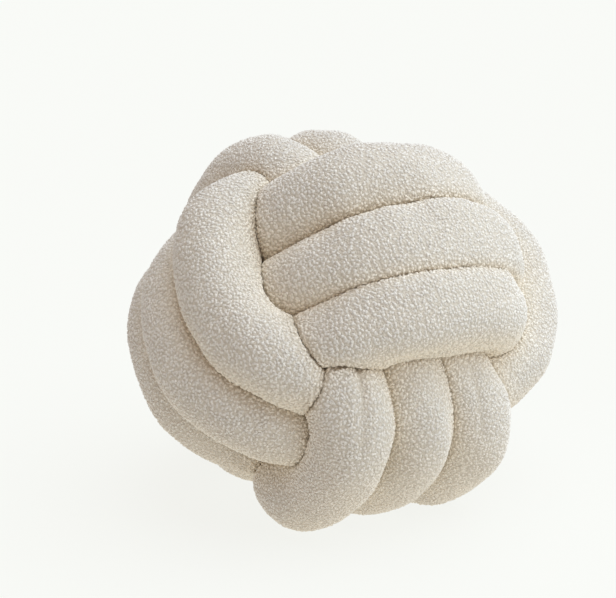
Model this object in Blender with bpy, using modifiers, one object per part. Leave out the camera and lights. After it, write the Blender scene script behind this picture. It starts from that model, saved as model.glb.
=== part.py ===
"""Knot cushion: one long stuffed fabric tube wound into a monkey's-fist ball.

Three rings of the same tube cross one another at right angles. Each ring has
three turns that lie side by side. Seen along its own plane, a ring is an oval:
it runs over one of the other rings on its long axis and under the third on its
short axis. So each of the ball's six faces shows three parallel strands, whose
ends dive under the strands of the next face.

Lengths are metres and +Z is up. The ball rests on z = 0, flattened there by its
own weight, and the origin is the middle of its underside.
"""

from math import ceil, pi, radians

import bmesh
import bpy
import numpy as np
from mathutils import Euler, Matrix

# ---- driving dimensions -------------------------------------------------------
PITCH = 0.0485            # between neighbouring strands; the knot is laid out in pitches
TUBE_RADIUS = 0.028       # of the free tube, so neighbours press into each other
TURNS = 3                 # strands in each ring
REACH_OVER = 2.5          # ball's centre to a strand that runs over, in pitches
REACH_UNDER = 1.65        # ball's centre to a strand that runs under, in pitches
CORNER_POWER = 2.6        # 2 is an ellipse, more is a squarer oval
OVER_ROUNDING = 0.17      # outer turns sit this much lower where they run over
UNDER_ROUNDING = 0.03     # and this much lower where they run under
UNDER_SPREAD = 0.85       # spacing of the strands where they run under
FACE_FADE = 1.5           # how fast a face's own shape fades where its strands dive
STEP_HALF_ANGLE = radians(28)   # half the arc in which a strand moves to its next lane
LANE_START = 0.9          # share of that arc that the first and last turn leave out
JOIN_PULL = 1.4           # how stiffly the tube leaves one ring for the next
TAIL_PULL = 2.2           # how stiffly it leaves the rings for its two ends
END_PULL = 0.8            # how stiffly the two ends point into the middle
FIRST_END = (0.55, 0.60, -0.35)    # the tube's ends, hidden in the middle
LAST_END = (-0.50, 0.35, 0.55)
BEND_SMOOTHING = 0.25     # length over which bends are evened out, in pitches

TILT = (radians(47.2), radians(10.65), radians(30.4))   # how the ball has rolled
CENTRE_HEIGHT = 0.1185    # of the ball's centre above the surface it lies on
SQUASH = 0.95             # height over width, from the ball's own weight
LIE_HEIGHT = 0.68         # lowest centre line, in tube radii, so the tube flattens
LIE_SOFTNESS = 0.012      # over this much height the strands are lifted to it

# ---- how fine the model is ------------------------------------------------------
TURN_SAMPLES = 240        # of a ring's formula, in each turn
BRIDGE_SAMPLES = 40       # of each bridge between rings
POINT_STEP = 0.12         # between the centre line's points, in pitches
SECTION_RESOLUTION = 4    # of the tube's round section
WELD_DISTANCE = 0.00005   # joins the tube's end caps to its wall
MIDDLE_RADIUS = 0.090     # the tails and the inner passes, packed solid
SKIN_VOXEL = 0.0042
SKIN_RELAX = 2            # smoothing passes on the skin
SKIN_KEEP = 0.195         # share of the skin's faces that stay
FLOOR_BLOCK = 0.5

FABRIC_COLOUR = (0.80, 0.75, 0.66, 1.0)
FABRIC_ROUGHNESS = 0.95

# ---- how this cushion differs from an even knot --------------------------------
# A ring's over-axis, under-axis and stacking axis. The knot's own axes are
# 0 = right face, 1 = top face, 2 = front face.
RING_AXES = ((2, 0, 1), (0, 1, 2), (1, 2, 0))

FACES = {
    # ring, side: spacing of the strands, slant across the face, sideways shift
    (0, +1): (1.03, 0.24, 0.02),      # front
    (0, -1): (1.00, 0.00, 0.00),      # back
    (1, +1): (1.00, 0.10, 0.08),      # right
    (1, -1): (1.05, 0.00, -0.03),     # left
    (2, +1): (1.00, -0.15, -0.12),    # top
    (2, -1): (1.00, 0.30, 0.05),      # bottom
}

# Where one strand is pushed by hand: ring, turn, angle and half width in degrees,
# then how far sideways and outward, in pitches.
NUDGES = (
    # ring turn angle width  side   out
    (0, 0, -20, 28, 0.10, 0.13),
    (0, 0, 45, 20, -0.12, -0.30),
    (0, 1, 40, 28, 0.06, 0.00),
    (0, 2, 30, 35, 0.14, 0.00),
    (0, 2, 40, 12, 0.12, -0.05),
    (0, 2, -20, 11, 0.05, 0.00),
    (0, 2, 225, 25, 0.25, -0.25),
    (1, 0, -38, 22, 0.00, -0.20),
    (1, 0, 15, 30, 0.00, 0.14),
    (1, 0, 118, 16, 0.12, -0.32),
    (1, 0, 150, 15, 0.08, 0.18),
    (1, 0, 180, 40, -0.08, 0.05),
    (1, 0, 222, 16, 0.42, -0.08),
    (1, 0, 256, 16, -0.36, -0.30),
    (1, 1, -38, 22, 0.00, -0.12),
    (1, 1, 145, 20, 0.00, -0.10),
    (1, 1, 180, 40, -0.07, 0.00),
    (1, 1, 230, 20, 0.43, 0.22),
    (1, 2, 180, 40, 0.14, -0.04),
    (1, 2, 232, 24, -0.22, -0.36),
    (2, 0, 112, 24, -0.72, 0.00),
    (2, 0, 155, 28, 0.34, -0.12),
    (2, 0, 195, 26, 0.00, -0.18),
    (2, 1, 120, 18, -0.38, 0.04),
    (2, 1, 155, 28, 0.24, -0.10),
    (2, 1, 192, 24, 0.00, -0.27),
    (2, 2, 106, 16, 0.00, -0.28),
    (2, 2, 126, 16, -0.26, 0.04),
    (2, 2, 165, 28, 0.14, 0.04),
    (2, 2, 198, 14, -0.12, 0.05),
    (2, 2, 222, 12, 0.30, -0.10),
)


# ---- the tube's centre line ----------------------------------------------------
def ease(t):
    """A step from 0 to 1 that starts and ends level."""
    t = np.clip(t, 0.0, 1.0)
    return t ** 3 * (t * (6.0 * t - 15.0) + 10.0)


def lane_of(turn):
    """Sideways lane, from +1 through 0 to -1, at a count of turns from 0 to 3.

    A strand changes lane on the under side at each whole turn, where it is hidden.
    """
    half = STEP_HALF_ANGLE / (2 * pi)
    lane = np.ones_like(turn)
    for whole in range(1, TURNS):
        lane = lane - ease((turn - whole + half) / (2 * half))
    return lane


def ring_points(ring):
    """Centre line of one ring's turns, in pitches, on the knot's own axes."""
    first = -pi / 2 + LANE_START * STEP_HALF_ANGLE
    last = TURNS * 2 * pi - pi / 2 - LANE_START * STEP_HALF_ANGLE
    angle = np.linspace(first, last, TURNS * TURN_SAMPLES)
    lane = lane_of((angle + pi / 2) / (2 * pi))
    over, under = np.cos(angle), np.sin(angle)

    reach_over = REACH_OVER - OVER_ROUNDING * lane ** 2
    reach_under = REACH_UNDER - UNDER_ROUNDING * lane ** 2
    oval = (np.abs(over / reach_over) ** CORNER_POWER
            + np.abs(under / reach_under) ** CORNER_POWER) ** (-1 / CORNER_POWER)

    near_side, far_side = FACES[ring, +1], FACES[ring, -1]
    spread, slant, shift = (np.where(over > 0, *pair) for pair in zip(near_side, far_side))
    on_face = np.abs(over) ** FACE_FADE
    sideways = lane * (UNDER_SPREAD + (spread - UNDER_SPREAD) * on_face) + shift * on_face
    sideways = sideways + slant * np.sign(over) * under * np.sqrt(on_face)

    outward = np.zeros_like(angle)
    for number, turn, middle, width, side, out in NUDGES:
        if number == ring:
            away = (angle - turn * 2 * pi - radians(middle)) / radians(width)
            bump = np.exp(-0.5 * away ** 2)
            sideways = sideways + side * bump
            outward = outward + out * bump

    points = np.zeros((len(angle), 3))
    over_axis, under_axis, stack_axis = RING_AXES[ring]
    points[:, over_axis] = (oval + outward) * over
    points[:, under_axis] = (oval + outward) * under
    points[:, stack_axis] = sideways
    return points


def bridge(start, start_pull, end, end_pull):
    """A cubic curve between two points that leaves and arrives along the two pulls."""
    t = np.linspace(0.0, 1.0, BRIDGE_SAMPLES)[:, None]
    return ((2 * t ** 3 - 3 * t ** 2 + 1) * start + (t ** 3 - 2 * t ** 2 + t) * start_pull
            + (3 * t ** 2 - 2 * t ** 3) * end + (t ** 3 - t ** 2) * end_pull)


def heading(before, after):
    """Unit direction from one point to the next."""
    return (after - before) / np.linalg.norm(after - before)


def even_points(points, step):
    """The same line with its points a constant distance apart."""
    lengths = np.linalg.norm(np.diff(points, axis=0), axis=1)
    along = np.concatenate([[0.0], np.cumsum(lengths)])
    wanted = np.linspace(0.0, along[-1], round(along[-1] / step) + 1)
    return np.stack([np.interp(wanted, along, points[:, i]) for i in range(3)], axis=1)


def even_bends(points, passes):
    """Each point moves toward its neighbours, so that the bends are even."""
    for _ in range(passes):
        middle = 0.25 * points[:-2] + 0.5 * points[1:-1] + 0.25 * points[2:]
        points = np.concatenate([points[:1], middle, points[-1:]])
    return points


def knot_line():
    """The whole tube's centre line, end to end, in pitches, on the knot's own axes."""
    rings = [ring_points(ring) for ring in range(3)]
    starts = [heading(ring[0], ring[1]) for ring in rings]
    ends = [heading(ring[-2], ring[-1]) for ring in rings]
    first_end, last_end = np.array(FIRST_END), np.array(LAST_END)

    pieces = [bridge(first_end, END_PULL * (rings[0][0] - first_end),
                     rings[0][0], TAIL_PULL * starts[0])[:-1]]
    for ring in range(3):
        pieces.append(rings[ring])
        if ring < 2:
            pieces.append(bridge(rings[ring][-1], JOIN_PULL * ends[ring],
                                 rings[ring + 1][0], JOIN_PULL * starts[ring + 1])[1:-1])
    pieces.append(bridge(rings[2][-1], TAIL_PULL * ends[2],
                         last_end, END_PULL * (last_end - rings[2][-1]))[1:])
    points = even_points(np.concatenate(pieces), POINT_STEP)
    return even_bends(points, ceil(2 * (BEND_SMOOTHING / POINT_STEP) ** 2))


def lying_line():
    """The centre line in metres, rolled, squashed and lying on the surface."""
    turned = knot_line() @ np.array(Euler(TILT).to_matrix()).T * PITCH
    turned[:, 2] = turned[:, 2] * SQUASH + CENTRE_HEIGHT
    lowest = LIE_HEIGHT * TUBE_RADIUS
    share = np.clip(0.5 + 0.5 * (turned[:, 2] - lowest) / LIE_SOFTNESS, 0.0, 1.0)
    turned[:, 2] = (lowest * (1 - share) + turned[:, 2] * share
                    + LIE_SOFTNESS * share * (1 - share))
    return turned


# ---- objects ---------------------------------------------------------------------
def fabric():
    """Cream bouclé: pale, warm and fully matt."""
    material = bpy.data.materials.new("cream_boucle")
    material.use_nodes = True
    shader = material.node_tree.nodes["Principled BSDF"]
    shader.inputs["Base Color"].default_value = FABRIC_COLOUR
    shader.inputs["Roughness"].default_value = FABRIC_ROUGHNESS
    shader.inputs["Metallic"].default_value = 0.0
    return material


def wound_tube(collection):
    """The tube as a round section swept along its centre line, turned into a mesh."""
    points = lying_line()
    curve = bpy.data.curves.new("wound_tube", "CURVE")
    curve.dimensions = "3D"
    curve.bevel_depth = TUBE_RADIUS
    curve.bevel_resolution = SECTION_RESOLUTION
    curve.use_fill_caps = True
    spline = curve.splines.new("POLY")
    spline.points.add(len(points) - 1)
    spline.points.foreach_set("co", np.column_stack([points, np.ones(len(points))]).ravel())
    path = bpy.data.objects.new("wound_tube", curve)
    collection.objects.link(path)

    evaluated = path.evaluated_get(bpy.context.evaluated_depsgraph_get())
    mesh = bpy.data.meshes.new_from_object(evaluated)
    bpy.data.objects.remove(path)
    return mesh


def add_packed_middle(mesh):
    """Welds the tube's caps and adds the ball that stands for the packed middle."""
    work = bmesh.new()
    work.from_mesh(mesh)
    bmesh.ops.remove_doubles(work, verts=work.verts, dist=WELD_DISTANCE)
    bmesh.ops.create_icosphere(work, subdivisions=4, radius=MIDDLE_RADIUS,
                               matrix=Matrix.Translation((0.0, 0.0, CENTRE_HEIGHT)))
    work.to_mesh(mesh)
    work.free()


def floor_cutter(collection):
    """A block that fills the space under the surface, to cut the underside flat."""
    bpy.ops.mesh.primitive_cube_add(size=FLOOR_BLOCK, location=(0.0, 0.0, -FLOOR_BLOCK / 2))
    block = bpy.context.object
    block.name = "floor_cutter"
    block.hide_render = True
    block.display_type = "WIRE"
    for owner in list(block.users_collection):
        owner.objects.unlink(block)
    collection.objects.link(block)
    return block


def cushion(collection, cutters):
    """One solid of the wound ball: a skin over the overlapping strands, cut flat."""
    mesh = wound_tube(collection)
    add_packed_middle(mesh)
    mesh.materials.append(fabric())
    ball = bpy.data.objects.new("knot_cushion", mesh)
    collection.objects.link(ball)

    skin = ball.modifiers.new("skin", "REMESH")
    skin.mode = "VOXEL"
    skin.voxel_size = SKIN_VOXEL
    skin.use_smooth_shade = True
    relax = ball.modifiers.new("relax", "SMOOTH")
    relax.iterations = SKIN_RELAX
    fewer = ball.modifiers.new("fewer_faces", "DECIMATE")
    fewer.ratio = SKIN_KEEP
    flat = ball.modifiers.new("flat_underside", "BOOLEAN")
    flat.operation = "DIFFERENCE"
    flat.object = floor_cutter(cutters)
    centre_on_origin(ball)


def centre_on_origin(thing):
    """Moves the object sideways so that the origin is the middle of its underside."""
    evaluated = thing.evaluated_get(bpy.context.evaluated_depsgraph_get())
    corners = np.array([corner[:] for corner in evaluated.bound_box])
    middle = (corners.min(axis=0) + corners.max(axis=0)) / 2
    thing.location = (-middle[0], -middle[1], 0.0)


def new_collection(name):
    """A collection linked to the scene."""
    collection = bpy.data.collections.new(name)
    bpy.context.scene.collection.children.link(collection)
    return collection


for leftover in list(bpy.data.objects):
    bpy.data.objects.remove(leftover)

cushion(new_collection("knot_cushion"), new_collection("cutters"))
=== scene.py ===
# %% [markdown]
# # A knot cushion of cream bouclé
#
# The real cushion is one long tube of bouclé, sewn along its length, stuffed
# with fibre and wound into a ball knot that sailors call a monkey's fist. It
# has three rings of three turns, each ring square to the other two.
#
# The lesson makes it the way a maker does: lay out the route of the tube, let
# the stuffed tube press against itself, cover it with looped pile, then light
# it. Every length is in metres and +Z is up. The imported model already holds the
# cushion as one plain solid, whose box says how large the finished ball is.

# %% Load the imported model
from math import ceil, cos, pi, radians, sin, sqrt, tau

import bpy
import numpy as np
from mathutils import Euler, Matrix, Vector


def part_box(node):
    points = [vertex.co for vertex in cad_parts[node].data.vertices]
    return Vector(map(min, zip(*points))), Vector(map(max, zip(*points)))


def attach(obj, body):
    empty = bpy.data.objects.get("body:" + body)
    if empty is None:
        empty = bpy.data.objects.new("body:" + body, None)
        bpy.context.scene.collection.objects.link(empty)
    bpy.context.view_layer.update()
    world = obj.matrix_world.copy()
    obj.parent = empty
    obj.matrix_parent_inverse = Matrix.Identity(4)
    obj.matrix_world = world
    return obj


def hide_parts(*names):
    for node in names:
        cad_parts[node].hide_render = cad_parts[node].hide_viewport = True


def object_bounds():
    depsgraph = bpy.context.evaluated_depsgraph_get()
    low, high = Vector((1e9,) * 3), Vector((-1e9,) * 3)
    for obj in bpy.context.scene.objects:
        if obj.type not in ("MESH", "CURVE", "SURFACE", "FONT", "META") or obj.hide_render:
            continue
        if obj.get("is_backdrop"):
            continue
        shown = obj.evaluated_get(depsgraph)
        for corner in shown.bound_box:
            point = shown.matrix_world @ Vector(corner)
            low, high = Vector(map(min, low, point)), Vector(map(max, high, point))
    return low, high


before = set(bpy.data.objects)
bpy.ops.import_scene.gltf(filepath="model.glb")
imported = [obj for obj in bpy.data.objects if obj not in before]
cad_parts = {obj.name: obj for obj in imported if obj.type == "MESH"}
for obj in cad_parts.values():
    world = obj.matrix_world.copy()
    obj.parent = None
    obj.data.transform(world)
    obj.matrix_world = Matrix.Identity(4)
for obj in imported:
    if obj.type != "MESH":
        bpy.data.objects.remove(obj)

cad_low, cad_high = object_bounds()
node_low, node_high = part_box("knot_cushion")
print("the solid spans", [round(1000 * side) for side in node_high - node_low], "mm")

# %% [markdown]
# ## The route of the tube
#
# On the real cushion nobody sees the route, only the strands that lie on top.
# It could be drawn by hand as a spline with a hundred points, but a knot this
# regular is easier to say as a rule: a ring is an oval that passes over one
# neighbour and under the other, and each turn moves over by one strand where
# it is hidden. A short table then pushes single strands out of the rule,
# because a hand wound cushion is never even. The rule and the table are the
# ones that the solid was made by.

# %% Sizes of the knot
PITCH = 0.0485                # from the middle of one strand to the middle of the next
TUBE_RADIUS = 0.0285          # of the stuffed tube where nothing presses on it
TURNS = 3

# Counted in pitches.
REACH_OVER, REACH_UNDER = 2.5, 1.65          # from the middle of the ball to a strand
OVER_ROUNDING, UNDER_ROUNDING = 0.17, 0.03   # how much lower the outer turns lie
UNDER_SPREAD = 0.85                          # strand spacing where they run under
FIRST_END, LAST_END = (0.55, 0.60, -0.35), (-0.50, 0.35, 0.55)
BEND_SMOOTHING = 0.25                        # the length over which bends are evened
POINT_STEP = 0.083                           # about 4 mm from point to point

# Shares, powers and angles.
CORNER_POWER = 2.6                           # 2 is an ellipse, more is squarer
FACE_FADE = 1.5                              # how soon a face's own table row fades out
STEP_HALF_ANGLE = radians(28)                # half the arc of a change of lane
LANE_START = 0.9                             # where a ring starts, in those half arcs
JOIN_PULL, TAIL_PULL, END_PULL = 1.4, 2.2, 0.8    # how wide the joining bends swing
TURN_SAMPLES, BRIDGE_SAMPLES = 240, 40

print(f"strands {1000 * PITCH:.1f} mm apart, a tube {2000 * TUBE_RADIUS:.0f} mm thick")

# %% How the ball lies
TILT = (radians(47.2), radians(10.65), radians(30.4))
CENTRE_HEIGHT = 0.1185
SQUASH = 0.95                 # it settles a little under its own weight
LIE_HEIGHT = 0.01904          # the lowest that the middle of a strand can lie
LIE_SOFTNESS = 0.012
print(f"middle of the ball {1000 * CENTRE_HEIGHT:.0f} mm above the floor")

# %% What each face and each strand adds to the rule, in pitches and degrees
RING_AXES = ((2, 0, 1), (0, 1, 2), (1, 2, 0))     # the over, under and stacking axes

FACES = {
    # ring, side: spacing of the strands, slant across the face, sideways shift
    (0, +1): (1.03, 0.24, 0.02),      # front
    (0, -1): (1.00, 0.00, 0.00),      # back
    (1, +1): (1.00, 0.10, 0.08),      # right
    (1, -1): (1.05, 0.00, -0.03),     # left
    (2, +1): (1.00, -0.15, -0.12),    # top
    (2, -1): (1.00, 0.30, 0.05),      # bottom
}

NUDGES = (
    # ring turn angle width  side   out
    (0, 0, -20, 28, 0.10, 0.13),
    (0, 0, 45, 20, -0.12, -0.30),
    (0, 1, 40, 28, 0.06, 0.00),
    (0, 2, 30, 35, 0.14, 0.00),
    (0, 2, 40, 12, 0.12, -0.05),
    (0, 2, -20, 11, 0.05, 0.00),
    (0, 2, 225, 25, 0.25, -0.25),
    (1, 0, -38, 22, 0.00, -0.20),
    (1, 0, 15, 30, 0.00, 0.14),
    (1, 0, 118, 16, 0.12, -0.32),
    (1, 0, 150, 15, 0.08, 0.18),
    (1, 0, 180, 40, -0.08, 0.05),
    (1, 0, 222, 16, 0.42, -0.08),
    (1, 0, 256, 16, -0.36, -0.30),
    (1, 1, -38, 22, 0.00, -0.12),
    (1, 1, 145, 20, 0.00, -0.10),
    (1, 1, 180, 40, -0.07, 0.00),
    (1, 1, 230, 20, 0.43, 0.22),
    (1, 2, 180, 40, 0.14, -0.04),
    (1, 2, 232, 24, -0.22, -0.36),
    (2, 0, 112, 24, -0.72, 0.00),
    (2, 0, 155, 28, 0.34, -0.12),
    (2, 0, 195, 26, 0.00, -0.18),
    (2, 1, 120, 18, -0.38, 0.04),
    (2, 1, 155, 28, 0.24, -0.10),
    (2, 1, 192, 24, 0.00, -0.27),
    (2, 2, 106, 16, 0.00, -0.28),
    (2, 2, 126, 16, -0.26, 0.04),
    (2, 2, 165, 28, 0.14, 0.04),
    (2, 2, 198, 14, -0.12, 0.05),
    (2, 2, 222, 12, 0.30, -0.10),
)
print(f"{len(FACES)} faces and {len(NUDGES)} nudges")


# %% One ring as one formula
def ease(t):
    """A step from 0 to 1 that starts and ends level: 6 t^5 - 15 t^4 + 10 t^3."""
    t = np.clip(t, 0.0, 1.0)
    return t ** 3 * (t * (6.0 * t - 15.0) + 10.0)


def ring_points(ring):
    """One ring's turns, in pitches: an oval whose distance from the middle is
    (|cos|/over)^p + (|sin|/under)^p = distance^-p, one lane further each turn.
    Each nudge adds its side and its out times the bell exp(-away^2 / 2), where
    away is the angle from the nudge's middle, in widths.
    """
    first = -pi / 2 + LANE_START * STEP_HALF_ANGLE
    last = TURNS * tau - pi / 2 - LANE_START * STEP_HALF_ANGLE
    angle = np.linspace(first, last, TURNS * TURN_SAMPLES)
    turn, half = (angle + pi / 2) / tau, STEP_HALF_ANGLE / tau
    lane = 1 - sum(ease((turn - whole + half) / (2 * half)) for whole in range(1, TURNS))
    over, under = np.cos(angle), np.sin(angle)

    reach_over = REACH_OVER - OVER_ROUNDING * lane ** 2
    reach_under = REACH_UNDER - UNDER_ROUNDING * lane ** 2
    oval = (np.abs(over / reach_over) ** CORNER_POWER
            + np.abs(under / reach_under) ** CORNER_POWER) ** (-1 / CORNER_POWER)

    near_side, far_side = FACES[ring, +1], FACES[ring, -1]
    spread, slant, shift = (np.where(over > 0, *pair) for pair in zip(near_side, far_side))
    on_face = np.abs(over) ** FACE_FADE
    sideways = lane * (UNDER_SPREAD + (spread - UNDER_SPREAD) * on_face) + shift * on_face
    sideways = sideways + slant * np.sign(over) * under * np.sqrt(on_face)

    outward = np.zeros_like(angle)
    for number, turn_number, middle, width, side, out in NUDGES:
        if number == ring:
            away = (angle - turn_number * tau - radians(middle)) / radians(width)
            sideways = sideways + side * np.exp(-0.5 * away ** 2)
            outward = outward + out * np.exp(-0.5 * away ** 2)

    points = np.zeros((len(angle), 3))
    over_axis, under_axis, stack_axis = RING_AXES[ring]
    points[:, over_axis] = (oval + outward) * over
    points[:, under_axis] = (oval + outward) * under
    points[:, stack_axis] = sideways
    return points


print(f"a ring has {len(ring_points(0))} points")


# %% Helpers for joining the rings
def unit(vectors):
    """The same directions with length 1."""
    return vectors / np.linalg.norm(vectors, axis=-1, keepdims=True)


def bridge(start, start_pull, end, end_pull):
    """A cubic in t between two points that leaves and arrives along two pulls:
    (2t^3-3t^2+1) start + (t^3-2t^2+t) start pull + (3t^2-2t^3) end
    + (t^3-t^2) end pull."""
    t = np.linspace(0.0, 1.0, BRIDGE_SAMPLES)[:, None]
    return ((2 * t ** 3 - 3 * t ** 2 + 1) * start + (t ** 3 - 2 * t ** 2 + t) * start_pull
            + (3 * t ** 2 - 2 * t ** 3) * end + (t ** 3 - t ** 2) * end_pull)


def smoothed(points, passes):
    """Each point a quarter of both neighbours and half of itself, pass by pass.
    After n passes a point is spread over about sqrt(n / 2) steps."""
    for _ in range(passes):
        middle = 0.25 * points[:-2] + 0.5 * points[1:-1] + 0.25 * points[2:]
        points = np.concatenate([points[:1], middle, points[-1:]])
    return points


corner_points = bridge(np.array([0, 0, 0]), np.array([1, 0, 0]),
                       np.array([1, 1, 0]), np.array([0, 1, 0]))
print("a bridge round a corner passes", corner_points[BRIDGE_SAMPLES // 2].round(2))


# %% The three rings joined
def knot_route():
    """The whole route, in pitches: tail, ring, bridge, ring, bridge, ring, tail."""
    rings = [ring_points(ring) for ring in range(3)]
    starts = [unit(ring[1] - ring[0]) for ring in rings]
    ends = [unit(ring[-1] - ring[-2]) for ring in rings]
    first, last = np.array(FIRST_END), np.array(LAST_END)
    parts = [bridge(first, END_PULL * (rings[0][0] - first),
                    rings[0][0], TAIL_PULL * starts[0])[:-1]]
    for ring in range(3):
        parts.append(rings[ring])
        if ring < 2:
            parts.append(bridge(rings[ring][-1], JOIN_PULL * ends[ring],
                                rings[ring + 1][0], JOIN_PULL * starts[ring + 1])[1:-1])
    parts.append(bridge(rings[2][-1], TAIL_PULL * ends[2],
                        last, END_PULL * (last - rings[2][-1]))[1:])
    points = np.concatenate(parts)

    along = np.concatenate([[0], np.linalg.norm(np.diff(points, axis=0), axis=1).cumsum()])
    wanted = np.linspace(0, along[-1], round(along[-1] / POINT_STEP) + 1)
    points = np.stack([np.interp(wanted, along, axis) for axis in points.T], axis=1)
    return smoothed(points, ceil(2 * (BEND_SMOOTHING / POINT_STEP) ** 2))


pitches = knot_route()
print("the bare knot spans", (pitches.max(axis=0) - pitches.min(axis=0)).round(1), "pitches")


# %% The route as it lies
def lying_route(pitches):
    """The route in metres, rolled, squashed and lying on the surface, z = 0.

    Strands lower than the least height are lifted to it with a soft maximum.
    """
    points = pitches @ np.array(Euler(TILT).to_matrix()).T * PITCH
    points[:, 2] = points[:, 2] * SQUASH + CENTRE_HEIGHT
    share = np.clip(0.5 + 0.5 * (points[:, 2] - LIE_HEIGHT) / LIE_SOFTNESS, 0, 1)
    points[:, 2] = (LIE_HEIGHT * (1 - share) + points[:, 2] * share
                    + LIE_SOFTNESS * share * (1 - share))
    return points


route = lying_route(pitches)
route_step = np.linalg.norm(np.diff(route, axis=0), axis=1).mean()
print(f"the tube is {route_step * (len(route) - 1):.2f} m long, {len(route)} points")

# %% [markdown]
# ## The stuffed tube
#
# A free stuffed tube is round. Wound tight, its strands are closer together
# than they are thick, so each flattens against its neighbours and stays round
# where nothing touches it. A cloth simulation could find that shape, but six
# metres of tube that touches itself everywhere is a lot to ask of it. The answer
# has a simple form, so the simulation is left out: fabric that is pressed from
# both sides ends up halfway between the two centre lines. Every spoke of the
# tube's section is cut off at the nearest of those halfway planes, or at the
# floor, with a soft minimum that rounds the edge. Low hills on the free tube
# stand for uneven stuffing.

# %% A round section at each point of the route
SPOKES = 56


def spoke_directions():
    """Unit vectors square to the route, cos(turn) outward + sin(turn) aside.
    Spoke 0 points away from the ball's middle, and the others turn from there."""
    heading = unit(np.gradient(route, axis=0))
    outward = route - np.array([0.0, 0.0, CENTRE_HEIGHT])
    outward = unit(outward - (outward * heading).sum(1, keepdims=True) * heading)
    aside = np.cross(heading, outward)
    turn = np.linspace(0, tau, SPOKES, endpoint=False)[None, :, None]
    return np.cos(turn) * outward[:, None] + np.sin(turn) * aside[:, None]


spokes = spoke_directions()
along_route = route_step * np.arange(len(route))[:, None]
round_route = 360 / SPOKES * np.arange(SPOKES)
print(f"{len(route)} sections of {SPOKES} spokes")

# %% Uneven stuffing
LUMP_HEIGHT = 0.0007
LUMP_LONGEST, LUMP_SHORTEST, LUMP_WAVES = 0.075, 0.028, 28
LUMP_SEED = 3


def soft_hills(places, longest, shortest, count, seed):
    """Smooth unevenness of about -1 to 1: a sum of sine waves, each with its own
    direction and a length between the two that are given."""
    draw = np.random.default_rng(seed)
    directions = unit(draw.normal(size=(count, 3)))
    lengths = shortest * (longest / shortest) ** draw.random(count)
    phases = draw.random(count) * tau
    waves = np.sin(places @ (directions * (tau / lengths)[:, None]).T + phases)
    return waves.sum(axis=-1) / sqrt(count)


round_skin = route[:, None] + spokes * TUBE_RADIUS
lumps = soft_hills(round_skin, LUMP_LONGEST, LUMP_SHORTEST, LUMP_WAVES, LUMP_SEED)
free_reach = TUBE_RADIUS + LUMP_HEIGHT * lumps
print(f"the free tube is {2000 * free_reach.min():.1f} to {2000 * free_reach.max():.1f} mm thick")

# %% [markdown]
# ## Folds, full places and slack places
#
# Fabric folds where the tube bends hard. A strand that is packed full keeps the
# crease beside it shallow, and a slack one turns under early. Sculpting could
# add all three by eye, but any later change of the route would lose them. Here
# each is a few short lines on the tube rolled out flat, so it stays with its
# strand. A line is given by how far along the tube and how many degrees round
# it starts and ends, and by its strength.

# %% Lines on the rolled out tube: metres and degrees of both ends, strength
FOLDS = (
    # the fold in the leftmost of the strands below the front
    (5.7030, 322, 5.7176, 330.4, 1),
    (5.7176, 330.4, 5.7275, 338.9, 0.8),
    (5.7275, 338.9, 5.7440, 345.5, 0.45),
    # a weaker one in the rightmost of them
    (4.4286, 1.7, 4.4455, 15.1, 0.4),
    (4.4455, 15.1, 4.4621, 29.5, 0.35),
)
FULL = (
    # the two creases of the front, from their middles to their right ends
    (0.2041, 82, 0.2242, 82, 0.4),
    (0.2242, 82, 0.2463, 74, 0.8),
    (0.2463, 74, 0.2727, 62, 1),
    (0.2727, 62, 0.2900, 54, 0.8),
    (0.8379, 326, 0.8557, 322, 0.4),
    (0.8557, 322, 0.8772, 321, 0.8),
    (0.8772, 321, 0.8996, 325, 1),
    (0.8996, 325, 0.9150, 328, 0.8),
    (0.8290, 50, 0.8465, 54, 0.4),
    (0.8465, 54, 0.8665, 55, 0.8),
    (0.8665, 55, 0.9181, 53, 1),
    (0.9181, 53, 0.9466, 40, 0.7),
    (1.4907, 307, 1.5063, 310, 0.4),
    (1.5063, 310, 1.5246, 312, 0.8),
    (1.5246, 312, 1.5750, 313, 1),
)
SLACK = (
    # the right edge of the nearest strand on the left
    (2.5750, 275, 2.5879, 289, 0.5),
    (2.5879, 289, 2.5982, 307, 0.8),
    (2.5982, 307, 2.6069, 325, 0.8),
    (2.6069, 325, 2.6125, 333, 0.6),
    # the lower edge of the front's lowest strand
    (1.4878, 60, 1.5009, 70, 0.5),
    (1.5009, 70, 1.5353, 68, 1),
    (1.5353, 68, 1.5818, 66, 0.8),
    # the right edge of the middle strand below it
    (5.0800, 322, 5.1250, 313, 1),
)
print(f"{len(FOLDS)} fold, {len(FULL)} full and {len(SLACK)} slack lines")

# %% How near each place is to such lines
FOLD_DEPTH, FOLD_WIDTH = 0.0034, 0.0036
FULL_RISE, FULL_WIDTH = 0.0050, 0.012
SLACK_SINK, SLACK_WIDTH = 0.0030, 0.010


def near_lines(rows, along, degrees, half_width):
    """How near each place is to the lines: strength * exp(-(d / half width)^2),
    where d is the distance to a line on the tube rolled out flat."""
    nearness = np.zeros(np.broadcast(along, degrees).shape)
    for start, from_angle, end, to_angle, strength in rows:
        line = np.array([end - start, radians(to_angle - from_angle) * TUBE_RADIUS])
        aside = np.radians((degrees - from_angle + 180) % 360 - 180) * TUBE_RADIUS
        share = np.clip(((along - start) * line[0] + aside * line[1]) / (line @ line), 0, 1)
        off = np.hypot(along - start - share * line[0], aside - share * line[1])
        nearness = np.maximum(nearness, strength * np.exp(-(off / half_width) ** 2))
    return nearness


full = near_lines(FULL, along_route, round_route, FULL_WIDTH)
slack = near_lines(SLACK, along_route, round_route, SLACK_WIDTH)
folded = near_lines(FOLDS, along_route, round_route, FOLD_WIDTH)
free_reach = free_reach + FULL_RISE * full - SLACK_SINK * slack
print(f"{(folded > 0.5).sum()} points in folds, {(full > 0.5).sum()} full,",
      f"{(slack > 0.5).sum()} slack")

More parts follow.
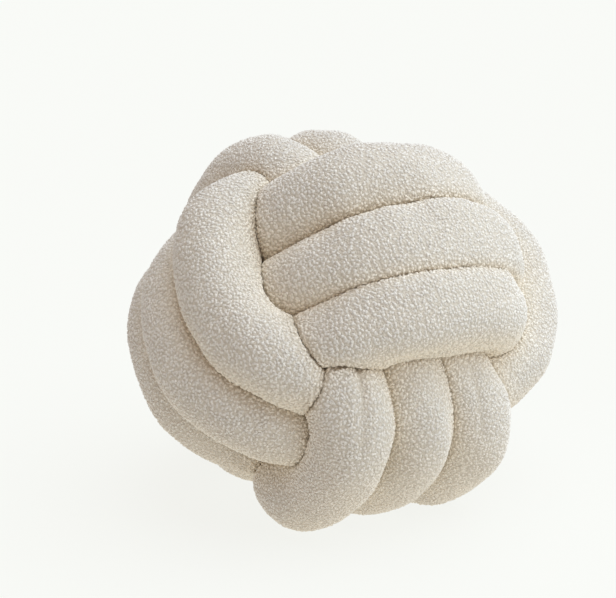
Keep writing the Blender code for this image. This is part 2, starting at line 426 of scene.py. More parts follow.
# %% [markdown]
# ## Where one strand pushes into another
#
# Two strands that press equally meet halfway. One that is stuffed harder, or
# pulled tighter, pushes into the other, so its edge stands further over.
# Nudging the whole strand would move its other edge too. So only the plane
# between the two strands moves, on the stretch where they touch.

# %% How far each halfway plane moves
PUSHES = (
    # the strand that gains, from and to; the one that gives way, from and to; how far
    (2.470, 2.520, 0.110, 0.170, 0.0030),    # left strand, into the front's top strand
    (0.745, 0.800, 2.545, 2.600, 0.0028),    # front's middle strand, into the left one
    (1.420, 1.475, 2.580, 2.620, 0.0028),    # front's lowest strand, into the left one
    (3.265, 3.310, 5.705, 5.750, 0.0045),    # second left strand, into the one below
)
PUSH_EDGE = 0.012             # how softly a push starts and ends along the tube


def on_stretch(along, start, end):
    """1 between start and end, and 0 beyond them, with eased edges."""
    return (ease((along - start + PUSH_EDGE) / (2 * PUSH_EDGE))
            * ease((end + PUSH_EDGE - along) / (2 * PUSH_EDGE)))


def pushed(along, others_along):
    """How far the plane between each pair of route points moves towards the other
    one: + where this strand gains, - where it gives way."""
    shift = np.zeros((len(along), len(others_along)))
    for gain_start, gain_end, give_start, give_end, far in PUSHES:
        gains = [on_stretch(a, gain_start, gain_end) for a in (along, others_along)]
        gives = [on_stretch(a, give_start, give_end) for a in (along, others_along)]
        shift += far * (np.outer(gains[0], gives[1]) - np.outer(gives[0], gains[1]))
    return shift


print(f"{len(PUSHES)} pushes of up to {1000 * max(row[-1] for row in PUSHES):.1f} mm")

# %% A soft limit
EDGE_SOFTNESS = 0.0023        # rounds the edge where a strand leaves its neighbour
FULL_TIGHTNESS = 0.6          # the share of that rounding that a full strand fills


def soft_least(a, b, softness):
    """The smaller of two numbers, with the corner between them rounded off: a
    straight mix of both, less softness * share * (1 - share)."""
    share = np.clip(0.5 + 0.5 * (b - a) / softness, 0, 1)
    return b * (1 - share) + a * share - softness * share * (1 - share)


softness = EDGE_SOFTNESS * (1 - FULL_TIGHTNESS * full)
least, most = 1000 * softness.min() / 4, 1000 * softness.max() / 4
print(f"where both are equal, the softness takes {least:.2f} to {most:.2f} mm off")

# %% How far each spoke reaches
CONTACT_GAP = 0.0003          # between two pressed faces of fabric
NEIGHBOUR_REACH = 0.085       # centre lines further off can't touch
SAME_STRAND = 0.070           # along the tube, nearer than this is the same bend
LEAST_SPOKE = 0.002
UNLIMITED = 1.0               # further than any spoke reaches
LEAST_FACING = 1e-9           # a spoke turned away from a plane never meets it
LEAST_DOWN = 1e-3             # nor does a level spoke meet the floor
SECTIONS_AT_ONCE = 100        # keeps the arrays below small
PRESSED_BY = 0.002            # a spoke that is shorter by this is in contact


def pressed_reach(spokes, free, softness):
    """Each spoke's length: free, or less where it meets another strand or the floor.

    For a route point c, a spoke n and another route point q, the plane halfway
    between c and q cuts the spoke at |c-q|^2 / (2 n.(q-c)). A push moves the plane
    along the line from c to q, which adds 2 |c-q| push to the top. The contact
    gap g, by which q stays further off than c, takes g^2 off the top and adds g
    to n.(q-c). Every second route point is enough for q.
    """
    others, every = route[::2], np.arange(len(route))
    along = route_step * every
    apart_along = int(SAME_STRAND / route_step)
    limit = np.full(free.shape, UNLIMITED)
    for first in range(0, len(route), SECTIONS_AT_ONCE):
        rows = slice(first, first + SECTIONS_AT_ONCE)
        gap = route[rows, None] - others[None]
        squared = (gap ** 2).sum(2)
        facing = 2 * (CONTACT_GAP - np.einsum("rsk,rqk->rsq", spokes[rows], gap))
        towards = 2 * np.sqrt(squared) * pushed(along[rows], along[::2])
        top = squared - CONTACT_GAP ** 2 + towards
        cut = top[:, None] / np.maximum(facing, LEAST_FACING)
        skipped = ((np.abs(every[rows, None] - every[None, ::2]) < apart_along)
                   | (squared > NEIGHBOUR_REACH ** 2))
        missed = skipped[:, None] | (facing <= LEAST_FACING)
        limit[rows] = np.where(missed, UNLIMITED, cut).min(axis=2)
    down = -spokes[:, :, 2]
    to_floor = np.where(down > LEAST_DOWN,
                        route[:, None, 2] / np.maximum(down, LEAST_DOWN), UNLIMITED)
    limit = np.minimum(limit, np.maximum(to_floor, LEAST_SPOKE))
    return np.maximum(soft_least(free, limit, softness), LEAST_SPOKE)


reach = pressed_reach(spokes, free_reach, softness) - FOLD_DEPTH * folded
skin = route[:, None] + spokes * reach[:, :, None]
print(f"{(reach < TUBE_RADIUS - PRESSED_BY).mean():.0%} of the skin is pressed flat")

# %% Put the tube where the solid is
skin_low, skin_high = skin.min(axis=(0, 1)), skin.max(axis=(0, 1))
box_middle = (np.array(node_low) + np.array(node_high)) / 2
moved = np.append((box_middle - (skin_low + skin_high) / 2)[:2], node_low[2] - skin_low[2])
skin, route = skin + moved, route + moved
ball_middle = np.array([0.0, 0.0, CENTRE_HEIGHT]) + moved
print("moved by", (1000 * moved).round(1), "mm; the skin spans",
      (1000 * (skin_high - skin_low)).round(), "mm")

# %% [markdown]
# ## A surface from a grid
#
# A tube is a grid bent round: rings along it, sides round it, and one tip at
# each end that closes it. The same few lines serve the six metre tube and, much
# smaller, every loop of its pile. They also say where each face corner lies
# along and round the tube, which gives a clean map of the surface for free.

# %% The corners of a closed tube
def tube_corners(rings, sides):
    """Face corners of a closed tube whose points are `rings` rings of `sides`
    points, then the first and the last tip.

    Returns each corner's point number, its place along and round the tube from
    0 to 1, each face's ring number, and the number of corners in each face.
    """
    ring, side = np.meshgrid(np.arange(rings - 1), np.arange(sides), indexing="ij")
    quads = np.stack([ring, ring, ring + 1, ring + 1], -1).reshape(-1, 4)
    round_it = np.stack([side, side + 1, side + 1, side], -1).reshape(-1, 4)
    wall = quads * sides + round_it % sides

    side = np.arange(sides)
    tip = np.full(sides, rings * sides)
    first_cap = np.stack([tip, (side + 1) % sides, side], -1)
    last_cap = np.stack([tip + 1, (rings - 1) * sides + side,
                         (rings - 1) * sides + (side + 1) % sides], -1)
    corner = np.concatenate([wall.ravel(), first_cap.ravel(), last_cap.ravel()])

    zero, end = np.zeros(sides), np.full(sides, rings - 1.0)
    along = np.concatenate([quads.ravel(), np.stack([zero - 1, zero, zero], -1).ravel(),
                            np.stack([end + 1, end, end], -1).ravel()])
    middle = side + 0.5
    about = np.concatenate([round_it.ravel(), np.stack([middle, side + 1, side], -1).ravel(),
                            np.stack([middle, side, side + 1], -1).ravel()])
    face_ring = np.concatenate([quads[:, 0], zero, zero + rings - 2]).astype(int)
    sizes = np.concatenate([np.full(len(wall), 4), np.full(2 * sides, 3)])
    return corner, (along + 1) / (rings + 1), about / sides, face_ring, sizes


print("a tube of 3 rings and 4 sides has", len(tube_corners(3, 4)[-1]), "faces")


# %% From arrays to a piece
def make_piece(name, points, corner, sizes, uv, values):
    """A mesh object at the origin, smooth shaded, with its map and attributes."""
    mesh = bpy.data.meshes.new(name)
    mesh.vertices.add(len(points))
    mesh.vertices.foreach_set("co", points.astype(np.float32).ravel())
    mesh.loops.add(len(corner))
    mesh.loops.foreach_set("vertex_index", corner.astype(np.int32))
    mesh.polygons.add(len(sizes))
    starts = np.concatenate([[0], np.cumsum(sizes)[:-1]])
    mesh.polygons.foreach_set("loop_start", starts.astype(np.int32))
    mesh.polygons.foreach_set("use_smooth", np.ones(len(sizes), bool))
    mesh.update(calc_edges=True)
    mesh.uv_layers.new(name="OFBake").uv.foreach_set("vector", uv.astype(np.float32).ravel())
    for title, value in values.items():
        attribute = mesh.attributes.new(title, "FLOAT", "POINT")
        attribute.data.foreach_set("value", value.astype(np.float32).ravel())
    piece = bpy.data.objects.new(name, mesh)
    bpy.context.scene.collection.objects.link(piece)
    triangles = int((sizes - 2).sum())
    print(f"{name}: {len(points)} points, {triangles} triangles")
    return piece


# %% [markdown]
# ## Which fabric can be seen
#
# More than half of the tube is inside the ball. Pile is only worth making where
# it shows, and the colour is painted warmer the deeper a point lies in a crease,
# for light that has bounced there. Both need one number for each point: from how
# many sides can it be seen? Rays would answer it one by one. Here the whole skin
# is dropped on a coarse grid from many directions, and in each cell the points
# nearest the viewer are seen. An underside mostly faces the floor, so it counts
# for less, and so it also gets the painted warm colour.

# %% The share of directions that see each point
LOOKS = 160
CELL = 0.005                  # the side of a cell of the coarse grid
SEEN_DEPTH = 0.006            # behind the nearest point of a cell, still seen
SKEW = (0.31, 0.52, 0.79)     # a direction that lines up with none of the looks
BEHIND_ALL = -1.0             # a depth behind the whole ball


def seen_share(points):
    """For each point, the share of directions that see it, from 0 to about 0.5.

    The directions lie on a spiral from pole to pole, the golden angle apart.
    """
    number = np.arange(LOOKS) + 0.5
    height, turn = 1 - 2 * number / LOOKS, number * pi * (1 + sqrt(5))
    level = np.sqrt(1 - height ** 2)
    looks = np.stack([level * np.cos(turn), level * np.sin(turn), height], axis=1)
    seen = np.zeros(len(points))
    for look in looks:
        aside = unit(np.cross(look, SKEW))
        above = np.cross(look, aside)
        columns = np.floor(points @ np.stack([aside, above], axis=1) / CELL).astype(int)
        columns -= columns.min(axis=0)
        cell = columns[:, 0] * (columns[:, 1].max() + 1) + columns[:, 1]
        depth = points @ look
        nearest = np.full(cell.max() + 1, BEHIND_ALL)
        np.maximum.at(nearest, cell, depth)
        seen += depth > nearest[cell] - SEEN_DEPTH
    return seen / LOOKS


raw_open = seen_share((skin - ball_middle).reshape(-1, 3)).reshape(skin.shape[:2])
print(f"the most open point is seen from {raw_open.max():.0%} of the directions")

# %% How open each point is
# Undersides count as less open, so they also take the painted warm crease colour below
HIDDEN_BY_FLOOR = 0.8         # of what an underside would see
EVENING_PASSES = 2


def skin_normals():
    """Outward normals of the grid: the cross product of its two directions."""
    down_tube = np.gradient(skin, axis=0)
    round_tube = np.roll(skin, -1, axis=1) - np.roll(skin, 1, axis=1)
    return unit(np.cross(round_tube, down_tube))


def evened(values, passes):
    """Each value of the grid half itself and a quarter of both neighbours, first
    round the tube and then along it, pass by pass."""
    for _ in range(passes):
        values = 0.5 * values + 0.25 * (np.roll(values, 1, axis=1) + np.roll(values, -1, axis=1))
        values = smoothed(values, 1)
    return values


facing_down = np.clip(-skin_normals()[:, :, 2], 0, 1)
openness = evened(raw_open * (1 - HIDDEN_BY_FLOOR * facing_down), EVENING_PASSES)
print(f"the openness is {openness.mean():.2f} on average and {openness.max():.2f} at most")

# %% [markdown]
# ## The ground cloth
#
# Bouclé is a knitted ground with loops of yarn pulled through it. The ground is
# the tube itself, and it is what shows between the loops. It could stay without
# a map, but a map lets the finish be painted on it later. On a square map a
# strip six metres long would be very thin, so it is cut in a few strips.

# %% The tube as one piece
STRIPS = 6
STRIP_MARGIN = 0.01
TIP_LENGTH = 0.4 * TUBE_RADIUS


def strip_map(along, about, face_ring, sizes, rings):
    """The tube's map, its length cut in strips that lie above each other: across
    is the place along a strip, up is the strip's number plus the place round."""
    per_strip = (rings + 1) / STRIPS
    strip = np.repeat(np.minimum((face_ring + 1) // per_strip, STRIPS - 1), sizes)
    across = np.clip(along * STRIPS - strip, 0, 1)
    inside = 1 - 2 * STRIP_MARGIN
    return np.stack([STRIP_MARGIN + inside * across,
                     (strip + STRIP_MARGIN + inside * about) / STRIPS], axis=1)


corner, along, about, face_ring, sizes = tube_corners(len(skin), SPOKES)
tips = np.stack([route[0] - TIP_LENGTH * unit(route[1] - route[0]),
                 route[-1] + TIP_LENGTH * unit(route[-1] - route[-2])])
ground = make_piece(
    "boucle_tube",
    np.concatenate([skin.reshape(-1, 3), tips]),
    corner, sizes, strip_map(along, about, face_ring, sizes, len(skin)),
    {"openness": np.append(openness, [0, 0])},
)

# %% [markdown]
# ## The looped pile
#
# The real fabric is covered with curls of polyester yarn about 3 mm across. A
# bump in the material can suggest them, but the outline would stay smooth, and
# the outline is where fleece gives itself away. So each curl is a real, very
# small tube: a bent grain with a tip at each end and only 12 triangles. There
# are tens of thousands, all worked out at once as arrays.

# %% Values between the points of the grid
LAST_CELL = 1.001             # keeps a place just before the last ring


def on_skin(values, ring, side):
    """Values of the grid at places between its points, by a straight mix of the
    four around each place."""
    low_ring, low_side = np.floor(ring).astype(int), np.floor(side).astype(int)
    up, over = ring - low_ring, side - low_side
    next_ring = np.minimum(low_ring + 1, len(values) - 1)
    here, there = low_side % SPOKES, (low_side + 1) % SPOKES
    if values.ndim == 3:
        up, over = up[:, None], over[:, None]
    return ((1 - up) * ((1 - over) * values[low_ring, here] + over * values[low_ring, there])
            + up * ((1 - over) * values[next_ring, here] + over * values[next_ring, there]))


ON_FRONT = 0.25               # metres along the tube, where it crosses the front
on_front = on_skin(openness, np.array([ON_FRONT / route_step]), np.array([0.5]))
print(f"on the front the openness is {on_front[0]:.2f}")

# %% Where the curls stand
CURL_SPACING = 0.00208
CURL_JITTER = 0.42            # how far a curl leaves its even place, in spacings
LEAST_OPEN = 0.009            # deeper than this in a crease no pile is made
UNDER_ONE = 0.999999          # keeps one row's shares below the next row's
PILE_SEED = 11


def curl_places(draw):
    """Grid places of the curls: rows along the tube and even steps round it by
    length, every other row set over by half a step, each then moved a little."""
    rows = int(route_step * (len(skin) - 1) / CURL_SPACING)
    ring = (np.arange(rows) + 0.5) / rows * (len(skin) - 1)
    edge = np.linalg.norm(np.roll(skin, -1, axis=1) - skin, axis=2)
    edge = edge[np.round(ring).astype(int)]
    round_it = np.concatenate([np.zeros((rows, 1)), edge.cumsum(axis=1)], axis=1)
    steps = int(round_it[:, -1].mean() / CURL_SPACING)
    share = round_it / round_it[:, -1:] * UNDER_ONE + np.arange(rows)[:, None]
    wanted = np.arange(steps)[None] + 0.5 * (np.arange(rows) % 2)[:, None]
    wanted = (wanted + draw.uniform(-CURL_JITTER, CURL_JITTER, (rows, steps))) / steps % 1
    side = np.interp((wanted + np.arange(rows)[:, None]).ravel(), share.ravel(),
                     np.tile(np.arange(SPOKES + 1.0), rows))
    spread = draw.uniform(-CURL_JITTER, CURL_JITTER, (rows, steps)) * CURL_SPACING / route_step
    ring = np.clip(ring[:, None] + spread, 0, len(skin) - LAST_CELL).ravel()
    return ring, side


draw = np.random.default_rng(PILE_SEED)
curl_ring, curl_side = curl_places(draw)
curl_open = on_skin(openness, curl_ring, curl_side)
shown = curl_open > LEAST_OPEN
curl_ring, curl_side, curl_open = curl_ring[shown], curl_side[shown], curl_open[shown]
print(f"{len(curl_ring)} curls of {len(shown)} places")

# %% The shape of a curl
CURL_LENGTH = (0.0026, 0.0040)
CURL_THICKNESS = (0.00068, 0.00094)   # of the yarn, as a radius
CURL_RISE = (0.0, 0.0004)             # of its middle above its ends
CURL_FLATNESS = 1.7                   # wider than high
CURL_BEND = 0.5                       # sideways, in lengths
CURL_SINK = 0.0002                    # of its middle line into the ground
FLAT_PILE = 0.85                      # how thick a curl stays in a crease
FLOOR_CLEAR = 0.0002
SIDES = 3
STATIONS = np.array([-1, -0.45, 0.45, 1])    # along a curl: tip, ring, ring, tip
RINGS = len(STATIONS) - 2
CURL_POINTS = RINGS * SIDES + 2


def curls(places, normals, stand, draw):
    """Points of all curls: RINGS rings of SIDES points and 2 tips each.

    A curl's middle line runs along its heading, bends aside and rises as
    1 - t^2, with t from -1 to 1. Where `stand` is under 1 the curl is thinner and
    lower, as pile is in a crease.
    """
    count = len(places)
    heading = unit(np.cross(normals, draw.normal(size=(count, 3))))
    aside = np.cross(normals, heading)
    low, high = np.array([CURL_LENGTH, CURL_THICKNESS, CURL_RISE]).T
    length, thick, rise = (low + (high - low) * draw.random((count, 3))).T[:, :, None]
    fullness = FLAT_PILE + (1 - FLAT_PILE) * stand[:, None]
    thick, rise, sink = thick * fullness, rise * stand[:, None], CURL_SINK * fullness
    bend = draw.uniform(-CURL_BEND, CURL_BEND, (count, 1)) * length
    hump = 1 - STATIONS ** 2
    line = (places[:, None] + heading[:, None] * (length / 2 * STATIONS)[:, :, None]
            + aside[:, None] * (bend * (hump - 0.5))[:, :, None]
            + normals[:, None] * (rise * hump - sink)[:, :, None])
    turn = pi / 2 + np.arange(SIDES) * tau / SIDES
    cross = (CURL_FLATNESS * np.cos(turn)[None, :, None] * aside[:, None]
             + np.sin(turn)[None, :, None] * normals[:, None])
    body = line[:, 1:-1, None] + thick[:, None, None] * cross[:, None]
    points = np.concatenate([body.reshape(count, RINGS * SIDES, 3), line[:, [0, -1]]], axis=1)
    points[..., 2] = np.maximum(points[..., 2], FLOOR_CLEAR)
    return points


print(f"a curl has {CURL_POINTS} points")

# %% All curls at once
STAND_FROM, STAND_TO = 0.0, 0.04      # openness where the pile lies flat and stands up
FOLD_LINE = 0.0014                    # half the width of a fold's bottom
FOLD_PRESS, FOLD_SINK = 0.8, 0.0009   # how flat and how deep the pile lies there

places = on_skin(skin, curl_ring, curl_side)
normals = unit(on_skin(skin_normals(), curl_ring, curl_side))
outward_share = ((places - ball_middle) * normals).sum(axis=1).mean()
in_fold = near_lines(FOLDS, route_step * curl_ring, 360 / SPOKES * curl_side, FOLD_LINE)
places = places - FOLD_SINK * in_fold[:, None] * normals
stand = ease((curl_open - STAND_FROM) / (STAND_TO - STAND_FROM)) * (1 - FOLD_PRESS * in_fold)
curl_points = curls(places, normals, stand, draw)
print(f"normals point out: {outward_share > 0}; {(stand > 0.5).mean():.0%} of the pile stands up")

# %% Painted shade and highlight on each part of a curl, and its own tone
# Painted light: a curl's ridge is painted lighter and its foot and tips darker, and so are folds
# and undersides; only the spread from curl to curl is the curls' own random tone
TOP_PAINTED_HIGHLIGHT, SIDE_PAINTED_SHADE, TIP_PAINTED_SHADE = 0.3, -0.3, -0.9   # its ridge, its foot and its ends
TONE_SPREAD = 0.40                                # from curl to curl
FOLD_PAINTED_SHADE, UNDERSIDE_PAINTED_SHADE = -3.5, -0.9            # where little light arrives

# Each curl's random tone plus its painted shade and painted highlight
curl_tone_and_shade = draw.normal(0, TONE_SPREAD, len(places)) + FOLD_PAINTED_SHADE * in_fold
curl_tone_and_shade += UNDERSIDE_PAINTED_SHADE * np.clip(-normals[:, 2], 0, 1)
ring_painted_shade = [TOP_PAINTED_HIGHLIGHT] + (SIDES - 1) * [SIDE_PAINTED_SHADE]
curl_tone_and_shade = curl_tone_and_shade[:, None] + np.array(RINGS * ring_painted_shade + 2 * [TIP_PAINTED_SHADE])
print(f"tones from {curl_tone_and_shade.min():.1f} to {curl_tone_and_shade.max():.1f}")

# %% The curls as four pieces
PILE_PIECES = 4
CELL_MARGIN = 0.1             # round each curl's square of the map


def cell_map(count, along, about):
    """One small square of the map for each curl, row by row: across is the place
    along the curl, up is the place round it."""
    per_row = ceil(sqrt(count))
    cell = np.arange(count)[:, None]
    inside = 1 - 2 * CELL_MARGIN
    across = (cell % per_row + CELL_MARGIN + inside * along[None]) / per_row
    up = (cell // per_row + CELL_MARGIN + inside * about[None]) / per_row
    return np.stack([across.ravel(), up.ravel()], axis=1)


corner, along, about, _, sizes = tube_corners(RINGS, SIDES)
pile = []
for number, part in enumerate(np.array_split(np.arange(len(places)), PILE_PIECES)):
    first_point = CURL_POINTS * np.arange(len(part))[:, None]
    pile.append(make_piece(
        f"boucle_pile_{number + 1}",
        curl_points[part].reshape(-1, 3),
        (corner[None] + first_point).ravel(),
        np.tile(sizes, len(part)),
        cell_map(len(part), along, about),
        {"openness": np.repeat(curl_open[part], CURL_POINTS),
         "tone_and_shade": curl_tone_and_shade[part]},
    ))

# %% [markdown]
# ## The finish
#
# Bouclé of this kind is knitted from texturised polyester and left undyed: a
# warm cream, dull, with a faint bright edge where the light passes through the
# loose fibres. Its colour hardly varies. What the eye reads as texture is light
# on the curls, helped by painted shade on each curl's foot and tips and a painted
# highlight on its ridge, and a warmer tone down in the creases, painted into the
# colour for the light that only arrives there after it has bounced off cream
# fabric. A flat sheet of pattern wrapped round the tube would stretch at the
# bends, so the pattern is worked out in space.

# %% Helpers for colours and nodes
def linear(code):
    """An sRGB hex colour as the four linear numbers that shaders use."""
    parts = [int(code[i:i + 2], 16) / 255 for i in (1, 3, 5)]
    return (*(c / 12.92 if c <= 0.04045 else ((c + 0.055) / 1.055) ** 2.4 for c in parts), 1.0)


def add_node(material, kind, settings=(), inputs=()):
    """Adds a node, sets its properties, and gives each input a value or a link."""
    tree = material.node_tree
    node = tree.nodes.new(kind)
    for name, value in dict(settings).items():
        setattr(node, name, value)
    for socket, value in dict(inputs).items():
        if isinstance(value, bpy.types.NodeSocket):
            tree.links.new(value, node.inputs[socket])
        else:
            node.inputs[socket].default_value = value
    return node


print("mid grey is", round(linear("#808080")[0], 3), "in linear light")

# %% The colours and sizes of bouclé
CREAM = linear("#E4E1DB")
# Painted light: the warmer colour in creases and on undersides stands for light that has bounced
# off cream fabric there
CREAM_DEEP = linear("#F7EDDA")          # light that has bounced in a crease is warmer
CREAM_BETWEEN = linear("#CDC6BA")       # the ground lies in the shade of its loops
# The ground in the creases and on undersides, with the same painted warm bounce light
CREAM_BETWEEN_DEEP = linear("#D6CAB6")
# Painted shade: the lowest values, on a curl's foot and tips, in folds and on undersides, get the
# low shade; a ridge gets the high one
LOW_SHADE = linear("#F0EDEB")           # on the foot of a curl, times its colour
HIGH_SHADE = linear("#FFFFFF")          # on its ridge
TONE_AND_SHADE_LOW, TONE_AND_SHADE_HIGH = -2.0, 1.0         # the tones that get those two shades
OPEN_FROM, OPEN_TO = 0.04, 0.38         # openness from deep in a crease to wide open

PATCH = 0.030                           # patches where the pile lies another way
PATCH_SHADES = (0.95, 1.05)
CRIMP = 0.0013                          # the yarn's is finer, but wouldn't show
CRIMP_RANGE = (0.3, 0.7)                # of the noise, stretched to the shades below
CRIMP_SHADES = (0.88, 1.09)
KNIT = 0.0016                           # one stitch of the ground
KNIT_DEPTH, KNIT_STRENGTH = 0.001, 0.8

ROUGHNESS, SPECULAR = 0.92, 0.25        # dull, as crimped fibre is
SHEEN, SHEEN_ROUGHNESS = 0.12, 0.6      # the faint bright edge of loose fibre
print("cream in linear light:", [round(part, 2) for part in CREAM[:3]])


# %% Colour from the place on the cushion
def place_colour(material, place, top, deep):
    """`top` where the fabric is open and `deep` in the creases and on undersides, a
    painted warm colour of light that has bounced there, times a soft patch shade
    and a fine crimp shade. Returns the socket with the colour."""
    seen = add_node(material, "ShaderNodeAttribute", {"attribute_name": "openness"})
    light = add_node(material, "ShaderNodeMapRange", {},
                     {"Value": seen.outputs["Fac"], "From Min": OPEN_FROM, "From Max": OPEN_TO})
    colour = add_node(material, "ShaderNodeMix", {"data_type": "RGBA"},
                      {"Factor": light.outputs["Result"], 6: deep, 7: top})
    patches = add_node(material, "ShaderNodeTexNoise", {},
                       {"Vector": place, "Scale": 1 / PATCH, "Detail": 2.0})
    patch = add_node(material, "ShaderNodeMapRange", {},
                     {"Value": patches.outputs["Fac"],
                      "To Min": PATCH_SHADES[0], "To Max": PATCH_SHADES[1]})
    crimps = add_node(material, "ShaderNodeTexNoise", {},
                      {"Vector": place, "Scale": 1 / CRIMP, "Detail": 1.0})
    crimp = add_node(material, "ShaderNodeMapRange", {},
                     {"Value": crimps.outputs["Fac"],
                      "From Min": CRIMP_RANGE[0], "From Max": CRIMP_RANGE[1],
                      "To Min": CRIMP_SHADES[0], "To Max": CRIMP_SHADES[1]})
    both = add_node(material, "ShaderNodeMath", {"operation": "MULTIPLY"},
                    {0: patch.outputs["Result"], 1: crimp.outputs["Result"]})
    tinted = add_node(material, "ShaderNodeHueSaturation", {},
                      {"Value": both.outputs["Value"], "Color": colour.outputs[2]})
    return tinted.outputs["Color"]


print(f"patches {1000 * PATCH:.0f} mm wide, crimps {1000 * CRIMP:.1f} mm")


# %% What only the curls and only the ground have
def add_tone_and_painted_shade(material, colour):
    """The colour times a shade from low to high that goes by each point's own value:
    the curl's random lightness plus painted shade on its foot and tips, in folds
    and on undersides, and a painted highlight on its ridge.
    """
    own = add_node(material, "ShaderNodeAttribute", {"attribute_name": "tone_and_shade"})
    height = add_node(material, "ShaderNodeMapRange", {},
                      {"Value": own.outputs["Fac"],
                       "From Min": TONE_AND_SHADE_LOW, "From Max": TONE_AND_SHADE_HIGH})
    shade = add_node(material, "ShaderNodeMix", {"data_type": "RGBA"},
                     {"Factor": height.outputs["Result"], 6: LOW_SHADE, 7: HIGH_SHADE})
    product = add_node(material, "ShaderNodeMix",
                       {"data_type": "RGBA", "blend_type": "MULTIPLY"},
                       {"Factor": 1.0, 6: colour, 7: shade.outputs[2]})
    return product.outputs[2]


def stitched(material, place):
    """A normal that bulges over each stitch of the knitted ground."""
    stitches = add_node(material, "ShaderNodeTexVoronoi", {},
                        {"Vector": place, "Scale": 1 / KNIT})
    bump = add_node(material, "ShaderNodeBump", {},
                    {"Height": stitches.outputs["Distance"], "Distance": KNIT_DEPTH,
                     "Strength": KNIT_STRENGTH})
    return bump.outputs["Normal"]


print(f"stitches {1000 * KNIT:.1f} mm wide")


# %% Bouclé
def boucle(name, top, deep, is_pile):
    """A matt cream fabric. The pile's curls differ in lightness at random and carry
    painted shade and a painted highlight, and the ground has stitches."""
    material = bpy.data.materials.new(name)
    material.use_nodes = True
    shader = material.node_tree.nodes["Principled BSDF"]
    links = material.node_tree.links
    place = add_node(material, "ShaderNodeTexCoord").outputs["Object"]
    colour = place_colour(material, place, top, deep)
    if is_pile:
        colour = add_tone_and_painted_shade(material, colour)
    else:
        links.new(stitched(material, place), shader.inputs["Normal"])
    links.new(colour, shader.inputs["Base Color"])
    shader.inputs["Roughness"].default_value = ROUGHNESS
    shader.inputs["Specular IOR Level"].default_value = SPECULAR
    shader.inputs["Sheen Weight"].default_value = SHEEN
    shader.inputs["Sheen Roughness"].default_value = SHEEN_ROUGHNESS
    print(f"{name}: {len(material.node_tree.nodes)} nodes")
    return material


ground.data.materials.append(
    boucle("polyester_knit_ground", CREAM_BETWEEN, CREAM_BETWEEN_DEEP, is_pile=False))
loops = boucle("polyester_boucle_loops", CREAM, CREAM_DEEP, is_pile=True)
for piece in pile:
    piece.data.materials.append(loops)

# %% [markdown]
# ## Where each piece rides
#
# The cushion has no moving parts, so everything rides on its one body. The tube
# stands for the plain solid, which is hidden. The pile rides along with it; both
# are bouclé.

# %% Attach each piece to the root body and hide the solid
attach(ground, "root")
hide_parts("knot_cushion")
for piece in pile:
    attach(piece, "root")
print(f"{1 + len(pile)} pieces ride on the root body")

# %% [markdown]
# ## Floor, light and camera
#
# A pale cushion on pale paper is a catalogue setting: even light from all
# around, a large soft source high on the right for the shape, and a paper that
# glows a little by itself, so that it stays white under the cushion's soft
# shade. A hard lamp would draw black lines in the creases. A real studio would
# light the paper apart from the object, and the glow stands for that.

# %% The floor
FLOOR_HALF = 15.0
PAPER_GLOW = 0.892
floor_mesh = bpy.data.meshes.new("studio_floor")
floor_mesh.from_pydata([(-FLOOR_HALF, -FLOOR_HALF, 0), (FLOOR_HALF, -FLOOR_HALF, 0),
                        (FLOOR_HALF, FLOOR_HALF, 0), (-FLOOR_HALF, FLOOR_HALF, 0)],
                       [], [(0, 1, 2, 3)])
floor = bpy.data.objects.new("studio_floor", floor_mesh)
bpy.context.scene.collection.objects.link(floor)
floor_paint = bpy.data.materials.new("matt_studio_paper")
floor_paint.use_nodes = True
paper = floor_paint.node_tree.nodes["Principled BSDF"]
paper.inputs["Base Color"].default_value = linear("#565756")
paper.inputs["Emission Color"].default_value = linear("#F8F9F5")
paper.inputs["Emission Strength"].default_value = PAPER_GLOW
paper.inputs["Roughness"].default_value = 1.0
paper.inputs["Specular IOR Level"].default_value = 0.0
floor_mesh.materials.append(floor_paint)
floor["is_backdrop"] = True
print(f"the floor is {2 * FLOOR_HALF:.0f} m wide")

# %% The sky and the key light
SKY_COLOUR, SKY_STRENGTH = (1.27, 1.0, 0.85, 1.0), 0.365
KEY_COLOUR, KEY_ENERGY, KEY_ANGLE = (0.865, 1.0, 1.09), 0.92 * pi, radians(80)
KEY_SIDE, KEY_HEIGHT = radians(94), radians(65)      # from the front, from the floor


def looking_from(direction):
    """The rotation of a lamp or a camera that looks from this direction. Both look
    along their own -Z, so +Z turns to the direction, with +Y upwards."""
    return Vector(direction).to_track_quat("Z", "Y")


world = bpy.data.worlds.new("studio")
bpy.context.scene.world = world
world.use_nodes = True
sky = world.node_tree.nodes["Background"]
sky.inputs["Color"].default_value = SKY_COLOUR
sky.inputs["Strength"].default_value = SKY_STRENGTH

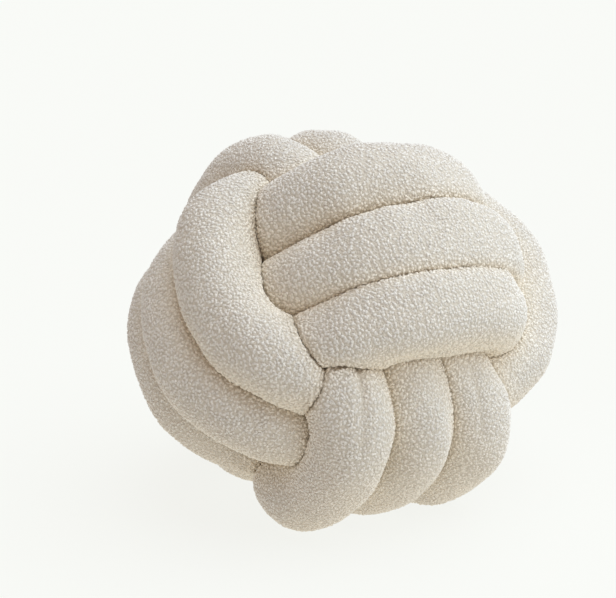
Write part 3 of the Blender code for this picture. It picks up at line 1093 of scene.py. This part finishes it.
key_data = bpy.data.lights.new("key", "SUN")
key_data.energy = KEY_ENERGY
key_data.color = KEY_COLOUR
key_data.angle = KEY_ANGLE
key = bpy.data.objects.new("key", key_data)
key.rotation_mode = "QUATERNION"
key.rotation_quaternion = looking_from((
    sin(KEY_SIDE) * cos(KEY_HEIGHT), -cos(KEY_SIDE) * cos(KEY_HEIGHT), sin(KEY_HEIGHT)))
bpy.context.scene.collection.objects.link(key)
print(f"the key light comes from {KEY_HEIGHT / radians(1):.0f} degrees up on the right")

# %% A low card that lifts the right side
CARD_COLOUR, CARD_ENERGY = (0.90, 1.0, 1.05), 0.25
CARD_SIZE, CARD_SPREAD = 0.4, radians(60)
CARD_PLACE, CARD_AIM = Vector((0.95, -0.55, 0.26)), Vector((0.0, 0.0, 0.06))

card_data = bpy.data.lights.new("low_card", "AREA")
card_data.energy = CARD_ENERGY
card_data.size = CARD_SIZE
card_data.spread = CARD_SPREAD
card_data.color = CARD_COLOUR
card = bpy.data.objects.new("low_card", card_data)
card.location = CARD_PLACE
card.rotation_mode = "QUATERNION"
card.rotation_quaternion = looking_from(CARD_PLACE - CARD_AIM)
bpy.context.scene.collection.objects.link(card)
print(f"the card stands {(CARD_PLACE - CARD_AIM).length:.1f} m from the cushion")

# %% The camera
DISTANCE = 1.4
ELEVATION = radians(18)
VIEW_WIDTH = 0.4306           # how much the view takes in at the ball's distance
SENSOR_WIDTH = 36.0
SHIFT = (-0.0536, 0.0503)     # puts the ball a little right and low in the view

camera_data = bpy.data.cameras.new("camera")
camera_data.sensor_width = SENSOR_WIDTH
camera_data.lens = SENSOR_WIDTH * DISTANCE / VIEW_WIDTH
camera_data.shift_x, camera_data.shift_y = SHIFT
camera = bpy.data.objects.new("camera", camera_data)
toward_camera = Vector((0.0, -cos(ELEVATION), sin(ELEVATION)))
camera.location = Vector(ball_middle) + DISTANCE * toward_camera
camera.rotation_mode = "QUATERNION"
camera.rotation_quaternion = looking_from(toward_camera)
bpy.context.scene.collection.objects.link(camera)
bpy.context.scene.camera = camera
bpy.context.scene.view_settings.view_transform = "Standard"
print(f"a {camera_data.lens:.0f} mm lens from {DISTANCE} m")

# %% Compare the sizes
shown_low, shown_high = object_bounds()
grown = [round(1000 * side, 1) for side in (shown_high - shown_low) - (cad_high - cad_low)]
print("the pile makes the cushion", grown, "mm larger in all")
